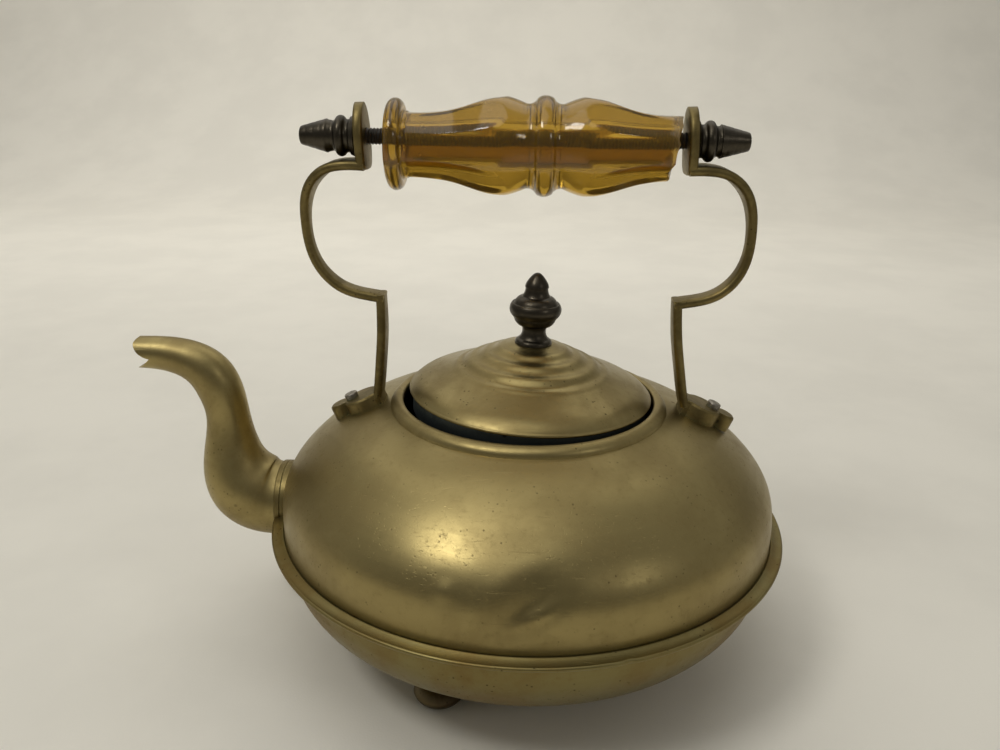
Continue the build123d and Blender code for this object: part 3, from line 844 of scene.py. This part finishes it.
def build_patina(name):
    """Aged metal: cloudy dull patches, fine pits, hairline scratches, clean edges and crusted joints."""
    grey, pit_brown = (0.5, 0.5, 0.5, 1), (0.07, 0.055, 0.03, 1)
    net, given, out = new_group(
        name, {"Metal": grey, "Dull": grey, "Clean": grey, "Crust": grey, "Cloud Size": 34.0,
               "Dullness": 0.8, "Pitting": 1.0, "Wear": 0.8, "Crusting": 0.7, "Roughness": 0.3},
        {"Color": "Color", "Roughness": "Float", "Height": "Float"})
    place = net.place()
    grain = net.noise(place, 420, 5, 0.7)
    clouds = net.times(net.patches(0.40, 0.64, place, given["Cloud Size"], 7, 0.62, 0.4), given["Dullness"])
    speckle = net.spread(grain, 0.50, 0.74)
    fine_pits = net.times(net.dots(place, 520, 0.10, 0.22), net.patches(0.50, 0.62, place, 120, 3, 0.6))
    knocks = net.times(net.dots(place, 88, 0.045, 0.09), net.patches(0.50, 0.56, place, 31, 2))
    pits = net.times(net.most(fine_pits, knocks), given["Pitting"], True)
    hairs = net.most(net.hairlines(place, (40, 1500, 1500), (0.3, 0.9, 0.5), 0.66, 0.71),
                     net.hairlines(place, (1500, 50, 1500), (0.8, 0.2, 0.7), 0.67, 0.72))

    edge_width, joint_width, rays = 0.0006, 0.0025, 6
    normal = net.put("ShaderNodeNewGeometry").outputs["Normal"]
    rounded = net.put("ShaderNodeBevel", {"Radius": edge_width}, samples=rays).outputs["Normal"]
    turned = net.vectors("DOT_PRODUCT", normal, rounded, output="Value")
    open_sky = net.put("ShaderNodeAmbientOcclusion", {"Distance": joint_width}, samples=rays).outputs["AO"]
    joint = net.spread(open_sky, 0.30, 0.86, 1, 0)
    bare_edge = net.times(net.spread(turned, 0.86, 0.99, 1, 0), net.minus(1.0, joint, True))
    edge = net.times(bare_edge, net.times(given["Wear"], net.spread(grain, 0.30, 0.55)), True)
    crust = net.times(net.times(joint, net.patches(0.36, 0.56, place, 260, 4)), given["Crusting"], True)

    tone = net.mixed(clouds, given["Metal"], given["Dull"])
    tone = net.mixed(net.times(speckle, 0.35), tone, given["Dull"])
    tone = net.mixed(edge, tone, given["Clean"])
    tone = net.mixed(net.times(pits, 0.60), tone, pit_brown)
    tone = net.mixed(crust, tone, given["Crust"])
    rough, height = given["Roughness"], net.times(grain, 0.14)
    for layer, amount in ((clouds, 0.12), (speckle, 0.10), (net.most(pits, crust), 0.35)):
        rough = net.plus(rough, net.times(layer, amount))
    rough = net.minus(rough, net.times(edge, 0.08), True)
    for layer, amount in ((pits, 0.9), (hairs, 0.5)):
        height = net.minus(height, net.times(layer, amount))
    height = net.plus(height, net.times(crust, 0.6))
    net.feed(out, {"Color": tone, "Roughness": rough, "Height": height})
    return net.tree


def build_turning(name):
    """Fine lines that a lathe or spinning tool leaves round an axis."""
    net, given, out = new_group(name, {"Centre": (0, 0, 0), "Axis": (0, 0, 1), "Fineness": 900.0},
                                {"Height": "Float", "Streak": "Float"})
    place = net.place()
    offset = net.vectors("SUBTRACT", place, given["Centre"])
    along = net.vectors("DOT_PRODUCT", offset, given["Axis"], output="Value")
    out_from = net.vectors("LENGTH", net.vectors("CROSS_PRODUCT", offset, given["Axis"]), output="Value")
    drift = net.times(net.noise(place, 14, 2), 0.0012)
    row = {"X": net.plus(out_from, drift), "Y": net.plus(along, drift)}
    row = net.put("ShaderNodeCombineXYZ", row).outputs[0]
    net.feed(out, {"Height": net.noise(row, given["Fineness"], 3, 0.6),
                   "Streak": net.patches(0.35, 0.65, row, 160, 3, 0.6)})
    return net.tree


# ---- finishes

def new_material(name, constants):
    """A material, its wiring and its shader's inputs, with what is the same all over set on them."""
    material = bpy.data.materials.new(name)
    material.use_nodes = True
    inputs = material.node_tree.nodes["Principled BSDF"].inputs
    for label, value in constants.items():
        inputs[label].default_value = value
    return material, Wiring(material.node_tree), inputs


def group_node(net, name, build, values):
    """A group placed in a material with its own values, and built if it is the first."""
    group = bpy.data.node_groups.get(name) or build(name)
    return net.put("ShaderNodeGroup", values, node_tree=group).outputs


def aged_metal(name, lathe=None, **values):
    """A metal with the patina group's own values changed, and with lines where a lathe has been."""
    material, net, shader = new_material(name, {"Metallic": 1.0})
    values = {label.replace("_", " ").title(): (*value, 1) if np.size(value) == 3 else value
              for label, value in values.items()}
    patina = group_node(net, "Patina", build_patina, values)
    height, rough = patina["Height"], patina["Roughness"]
    if lathe:
        fineness, depth = lathe
        middle = (AXIS_X * MM, 0, SEAM_Z * MM)
        lines = group_node(net, "Turning Lines", build_turning,
                           {"Centre": middle, "Axis": (0, 0, 1), "Fineness": fineness})
        height = net.plus(height, net.times(lines["Height"], depth))
        rough = net.plus(rough, net.times(lines["Streak"], 0.06), True)
    net.feed(shader, {"Base Color": patina["Color"], "Roughness": rough,
                      "Normal": net.relief(height, 0.35, 0.00012)})
    return material


def amber_glass(name, tint):
    """Pressed glass: clear and deep amber, faintly wavy, frosted where its end is chipped."""
    material, net, shader = new_material(name, {"Transmission Weight": 0.86, "IOR": 1.5})
    frosted = (0.70, 0.52, 0.22, 1)
    place = net.place()
    end = (AXIS_X + GLASS_CENTRE + GLASS_END) * MM
    ragged = net.plus(net.part(place, "X"), net.times(net.noise(place, 260, 4, 0.6), 0.004))
    frost = net.spread(ragged, end - 0.0030, end + 0.0010)
    specks = net.times(net.dots(place, 260, 0.05, 0.10), net.patches(0.55, 0.62, place, 45, 2))
    tone = net.mixed(net.times(net.most(frost, specks), 0.5), (*tint, 1), frosted)
    rough = net.plus(net.times(frost, 0.25), net.times(specks, 0.5))
    rough = net.plus(rough, net.spread(net.noise(place, 70, 4, 0.6), 0.35, 0.75, 0.07, 0.15), True)
    wave = net.plus(net.noise(place, 55, 2), net.times(net.noise(place, 420, 3), 0.06))
    wave = net.plus(wave, net.times(frost, net.noise(place, 900, 3)))
    net.feed(shader, {"Base Color": tone, "Roughness": rough, "Normal": net.relief(wave, 0.30, 0.0012)})
    return material


def plain_cloth(name, tint):
    """Smooth pale cloth with a barely seen weave, and painted shade that darkens it towards the front."""
    material, net, shader = new_material(name, {"Roughness": 0.95, "Specular IOR Level": 0.1})
    place = net.place()
    paler = [min(1, channel * 1.05) for channel in tint]
    painted_shade_tint = toned(tint, 0.5)
    tone = net.mixed(net.patches(0.35, 0.65, place, 9, 4, 0.6), (*tint, 1), (*paler, 1))
    # Painted shade: towards the front of the floor the cloth is mixed down to half its tint.
    painted_shade_mask = net.spread(net.part(place, "Y"), -0.75, -0.18)
    tone = net.mixed(painted_shade_mask, (*painted_shade_tint, 1), tone)
    weave = net.noise(place, 1400, 2)
    net.feed(shader, {"Base Color": tone, "Normal": net.relief(weave, 0.12, 0.0004)})
    return material


def toned(tint, *factors):
    """A tint with its channels scaled, all by one factor or each by its own."""
    return tuple(np.multiply(tint, factors))


def metal_recipes(coat):
    """What each metal sets in the patina group, and the fineness and depth of its lathe lines."""
    brass, bronze, steel = coat.brass[:], coat.bronze[:], coat.steel[:]
    brown, olive = toned(coat.tarnish[:], 0.92, 0.78, 0.66), toned(brass, 0.62, 0.60, 0.56)
    return {
        "dome_brass": dict(metal=toned(brass, 0.94), roughness=0.33, dullness=0.6, pitting=0.6, wear=0.5,
                           crusting=0.3, lathe=(1100, 0.05)),
        # Painted shade: the pan's brass is darkened to about two thirds, standing in for the shaded floor in
        # front that it reflects; its browner tarnish is its own.
        "pan_brass_painted_shade": dict(metal=toned(brass, 0.65, 0.68, 0.66), dull=toned(brown, 0.9, 0.95, 0.9),
                          roughness=0.36, dullness=0.8, crusting=0.3, lathe=(1100, 0.08)),
        "bead_brass": dict(roughness=0.33, wear=0.4, crusting=0.2, lathe=(1500, 0.06)),
        "lid_brass": dict(metal=toned(brass, 0.92), roughness=0.29, cloud_size=46, wear=0.3,
                          crusting=0.05, lathe=(1500, 0.06)),
        "spout_brass": dict(roughness=0.38, pitting=0.7, cloud_size=46, crusting=0.4),
        "ring_brass": dict(metal=olive, dull=toned(olive, 0.7), roughness=0.42, cloud_size=90, wear=0.5,
                           crusting=0.5),
        "strap_brass": dict(metal=olive, dull=toned(olive, 0.6), roughness=0.42, cloud_size=90, wear=0.4,
                            crusting=0.5),
        "foot_brass": dict(metal=(0.15, 0.115, 0.06), dull=(0.08, 0.055, 0.03), clean=(0.30, 0.24, 0.13),
                           roughness=0.40, dullness=1.0, wear=0.3),
        "rivet_metal": dict(metal=(0.36, 0.33, 0.27), dull=(0.22, 0.20, 0.17), clean=(0.60, 0.57, 0.50),
                            roughness=0.38, cloud_size=200),
        "dark_bronze": dict(metal=bronze, dull=toned(bronze, 0.6), clean=(0.24, 0.21, 0.16),
                            roughness=0.31, cloud_size=120, wear=0.3, crusting=0.1),
        "black_steel": dict(metal=steel, dull=toned(steel, 0.6), clean=(0.26, 0.25, 0.23),
                            crust=(0.10, 0.06, 0.03), roughness=0.40, wear=0.4),
        "black_bezel": dict(metal=(0.17, 0.20, 0.20), dull=(0.09, 0.11, 0.115), clean=(0.30, 0.33, 0.31),
                            roughness=0.50, wear=0.6, crusting=0.1),
    }


def finish(label):
    """The finish of that name, built the first time that a piece asks for it."""
    name = label.replace("_", " ").title()
    if name in bpy.data.materials:
        return bpy.data.materials[name]
    coat = bpy.context.scene.kettle_finish
    if label == "amber_glass":
        return amber_glass(name, coat.glass[:])
    if label == "pale_cloth":
        return plain_cloth(name, coat.cloth[:])
    shared = dict(metal=coat.brass[:], dull=coat.tarnish[:], clean=coat.bright[:], crust=coat.verdigris[:])
    return aged_metal(name, **{**shared, **metal_recipes(coat)[label]})


# ---- stage

# The camera: its place, its turns, and its focal length in pixels of a render of that width
EYE = (0.0, -276.66, 149.99)
LOOK_DOWN, LOOK_LEFT, ROLL = 0.345211, 0.0358037, 0.0130401
FOCAL, RENDER_WIDTH, SENSOR_WIDTH = 850, 1000, 36
DAYLIGHT, CEILING_LIGHT = (1.0, 0.99, 0.96), (1.0, 0.98, 0.95)


def in_frame(x, y, up):
    return Vector(((AXIS_X + x) * MM, y * MM, (SEAM_Z + up) * MM))


def place_camera():
    camera = bpy.data.cameras.new("Camera")
    camera.sensor_width = SENSOR_WIDTH
    camera.lens = FOCAL * SENSOR_WIDTH / RENDER_WIDTH
    camera.clip_start = 0.01
    forward = np.array([-math.sin(LOOK_LEFT) * math.cos(LOOK_DOWN),
                        math.cos(LOOK_LEFT) * math.cos(LOOK_DOWN), -math.sin(LOOK_DOWN)])
    level = unit(np.cross(forward, (0, 0, 1)))
    rise = np.cross(level, forward)
    right = math.cos(ROLL) * level + math.sin(ROLL) * rise
    top = -math.sin(ROLL) * level + math.cos(ROLL) * rise
    turned = Matrix(np.column_stack([right, top, -forward]))
    eye = bpy.data.objects.new("Camera", camera)
    eye.matrix_world = Matrix.Translation(in_frame(*EYE)) @ turned.to_4x4()
    bpy.context.scene.collection.objects.link(eye)
    bpy.context.scene.camera = eye


def hang_lamp(name, direction, distance, width, height, power, tint, aim=(0, 0, 20)):
    """A soft rectangular lamp that faces the kettle, or another place, from a direction."""
    lamp = bpy.data.lights.new(name, "AREA")
    lamp.shape, lamp.size, lamp.size_y = "RECTANGLE", width, height
    lamp.energy, lamp.color = power, tint
    hung = bpy.data.objects.new(name, lamp)
    towards = Vector(unit(direction))
    turned = towards.to_track_quat("Z", "Y").to_matrix()
    hung.matrix_world = Matrix.Translation(in_frame(*aim) + towards * distance) @ turned.to_4x4()
    bpy.context.scene.collection.objects.link(hung)


def make_backdrop():
    """A sheet of cloth that lies flat under the kettle and curves up behind it."""
    front, bend, back, top, half = -2500, 900, 1500, 1300, 6500
    radius = back - bend
    line = outline((front, 0), (bend, 0), oval((bend, radius), radius, radius, -90, 0, 24), (back, top))
    points = np.array([(x, y, up - SEAM_Z) for y, up in line for x in (-half, half)])
    faces = [[i, i + 1, i + 3, i + 2] for i in range(0, len(points) - 2, 2)]
    sheet = piece("backdrop", points, faces)
    coated(sheet, "pale_cloth")


def make_room():
    """Plain light from all round, dimmer from the front."""
    world = bpy.data.worlds.new("Room")
    world.use_nodes = True
    net, dim, pale = Wiring(world.node_tree), (0.14, 0.137, 0.13, 1), (0.42, 0.415, 0.395, 1)
    behind = net.part(net.place("Generated"), "Y")
    room = net.mixed(net.spread(behind, -0.8, 0.5), dim, pale)
    net.feed(net.tree.nodes["Background"].inputs, {"Color": room})
    bpy.context.scene.world = world


# ---- operators

class UndoStep:
    """What all the operators share"""

    bl_options = {"REGISTER", "UNDO"}


class KETTLE_OT_stage(UndoStep, bpy.types.Operator):
    """Lay the cloth, hang the lamps and place the camera"""

    bl_idname = "kettle.stage"
    bl_label = "Stage"

    def execute(self, context):
        make_backdrop()
        place_camera()
        hang_lamp("window_lamp", (-0.43, -0.40, 0.81), 1.0, 0.26, 0.20, 1.9, DAYLIGHT)
        hang_lamp("window_glow", (-0.15, -0.22, 0.96), 1.05, 0.80, 0.60, 1.6, DAYLIGHT)
        hang_lamp("side_lamp", (0.66, -0.57, 0.49), 1.2, 0.20, 0.16, 0.55, CEILING_LIGHT)
        hang_lamp("ceiling_panel", (-0.05, 0.55, 0.84), 1.9, 2.6, 1.6, 8.0, CEILING_LIGHT)
        hang_lamp("back_lamp", (0.0, -0.80, 0.60), 0.9, 1.4, 0.4, 3.5, CEILING_LIGHT, (-250, 1300, 150))
        make_room()
        context.scene.view_settings.view_transform = "Standard"
        return {"FINISHED"}


class KETTLE_OT_body(UndoStep, bpy.types.Operator):
    """Spin the upper shell, the flanged pan and the rolled bead of the mouth"""

    bl_idname = "kettle.body"
    bl_label = "Body"

    def execute(self, context):
        sizes = context.scene.kettle_sizes
        finish_piece(make_upper_shell(sizes), "dome_brass", "kettle", "upper_shell", 50)
        finish_piece(make_lower_pan(sizes), "pan_brass_painted_shade", "kettle", "lower_pan", 40)
        finish_piece(make_mouth_collar(sizes), "bead_brass", "kettle", "mouth_collar", 40)
        return {"FINISHED"}


class KETTLE_OT_spout(UndoStep, bpy.types.Operator):
    """Draw the hollow swan-neck spout and the ring round its root"""

    bl_idname = "kettle.spout"
    bl_label = "Spout"

    def execute(self, context):
        finish_piece(make_spout(), "spout_brass", "kettle", "spout", 50)
        finish_piece(make_spout_collar(), "ring_brass", "kettle", "spout_collar", 40)
        return {"FINISHED"}


class KETTLE_OT_handle(UndoStep, bpy.types.Operator):
    """Bend the two straps with their eyes and lugs, and rivet them down"""

    bl_idname = "kettle.handle"
    bl_label = "Handle Straps"

    def execute(self, context):
        sizes = context.scene.kettle_sizes
        for side, hand in SIDES.items():
            bracket = make_bracket(hand, f"strap_{side}", sizes)
            finish_piece(bracket, "strap_brass", "kettle", f"bracket_{side}", 35)
            rivet = make_rivet(hand, f"rivet_{side}")
            finish_piece(rivet, "rivet_metal", "kettle", f"handle_rivet_{side}", 35)
        return {"FINISHED"}


class KETTLE_OT_grip(UndoStep, bpy.types.Operator):
    """Thread the rod through both eyes and close it with two turned nuts"""

    bl_idname = "kettle.grip"
    bl_label = "Rod and Nuts"

    def execute(self, context):
        sizes = context.scene.kettle_sizes
        finish_piece(make_rod(sizes), "black_steel", "kettle", "grip_rod", 60)
        for side, hand in SIDES.items():
            nut = make_nut(hand, f"nut_{side}", sizes)
            finish_piece(nut, "dark_bronze", "kettle", f"finial_nut_{side}", 40)
        return {"FINISHED"}


class KETTLE_OT_glass(UndoStep, bpy.types.Operator):
    """Press the glass of the grip into its eight panels and break its end"""

    bl_idname = "kettle.glass"
    bl_label = "Glass Grip"

    def execute(self, context):
        finish_piece(make_glass(), "amber_glass", "grip", "grip_glass", 60)
        return {"FINISHED"}


class KETTLE_OT_lid(UndoStep, bpy.types.Operator):
    """Spin the lid and its bezel, and turn the finial and the nut that holds it"""

    bl_idname = "kettle.lid"
    bl_label = "Lid"

    def execute(self, context):
        sizes = context.scene.kettle_sizes
        finish_piece(make_lid_cover(sizes), "lid_brass", "lid", "lid_cover", 45)
        finish_piece(make_lid_bezel(sizes), "black_bezel", "lid", "lid_bezel", 45)
        finish_piece(make_lid_finial(sizes), "dark_bronze", "lid", "lid_finial", 40)
        finish_piece(make_lid_nut(sizes), "dark_bronze", "lid", "lid_nut", 30)
        return {"FINISHED"}


class KETTLE_OT_feet(UndoStep, bpy.types.Operator):
    """Turn the three small bun feet under the pan"""

    bl_idname = "kettle.feet"
    bl_label = "Feet"

    def execute(self, context):
        for name, bearing in {"right": 0, "back": 120, "front": 240}.items():
            foot = make_foot(bearing, f"bun_{name}")
            finish_piece(foot, "foot_brass", "kettle", f"foot_{name}", 50)
        return {"FINISHED"}


class KETTLE_PT_panel(bpy.types.Panel):
    """Buttons for the kettle's pieces, with its sizes and colours"""

    bl_idname = "KETTLE_PT_panel"
    bl_label = "Brass Kettle"
    bl_space_type = "VIEW_3D"
    bl_region_type = "UI"
    bl_category = "Kettle"

    def draw(self, context):
        for settings in (context.scene.kettle_sizes, context.scene.kettle_finish):
            box = self.layout.box()
            for name in settings.bl_rna.properties.keys():
                if name not in ("rna_type", "name"):
                    box.prop(settings, name)
        for operator in STEPS:
            self.layout.operator(operator.bl_idname)


STEPS = (KETTLE_OT_stage, KETTLE_OT_body, KETTLE_OT_spout, KETTLE_OT_handle, KETTLE_OT_grip,
         KETTLE_OT_glass, KETTLE_OT_lid, KETTLE_OT_feet)
CLASSES = (KettleSizes, KettleFinish, *STEPS, KETTLE_PT_panel)


def register():
    for cls in CLASSES:
        bpy.utils.register_class(cls)
    bpy.types.Scene.kettle_sizes = PointerProperty(type=KettleSizes)
    bpy.types.Scene.kettle_finish = PointerProperty(type=KettleFinish)


def unregister():
    del bpy.types.Scene.kettle_finish
    del bpy.types.Scene.kettle_sizes
    for cls in reversed(CLASSES):
        bpy.utils.unregister_class(cls)


def main():
    register()
    for step in STEPS:
        group, name = step.bl_idname.split(".")
        getattr(getattr(bpy.ops, group), name)()


if __name__ == "__main__":
    main()
